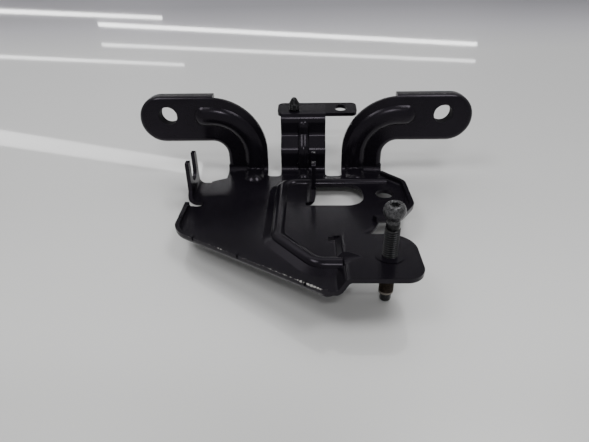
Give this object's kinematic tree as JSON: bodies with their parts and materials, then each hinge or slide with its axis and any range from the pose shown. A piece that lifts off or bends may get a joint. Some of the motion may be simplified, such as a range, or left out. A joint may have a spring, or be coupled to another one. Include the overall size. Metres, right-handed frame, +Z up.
{
  "type": "radar sensor bracket",
  "caption": "Pressed steel bracket with two mounting ears, upright clips and a ball screw, holding a vehicle radar sensor that is aimed by turning the screw.",
  "frame": {"origin": "halfway between the centres of the two ear holes, in the front face of the ears", "axes": "+X from the left ear hole to the right one, seen from the front; +Y to the back, square to the ears; +Z up, square to the plate"},
  "size_m": [0.1802, 0.131, 0.0594],
  "materials": {
    "black_coat": "black electrophoretic coat, satin, bright on the bends",
    "black_zinc": "black zinc plating, worn on the threads"
  },
  "bodies": {
    "bracket": {"bracket_stamping": "black_coat", "ear_sleeve_left": "black_coat", "ear_sleeve_right": "black_coat", "rivet_nut": "black_coat", "strap_stud": "black_zinc"},
    "screw": {"ball_screw": "black_zinc"}
  },
  "joints": [
    {"name": "screw_advance", "type": "slide", "parent": "bracket", "child": "screw", "axis": [0, 0, 1], "range_m": [-0.009, 0.008]}
  ]
}
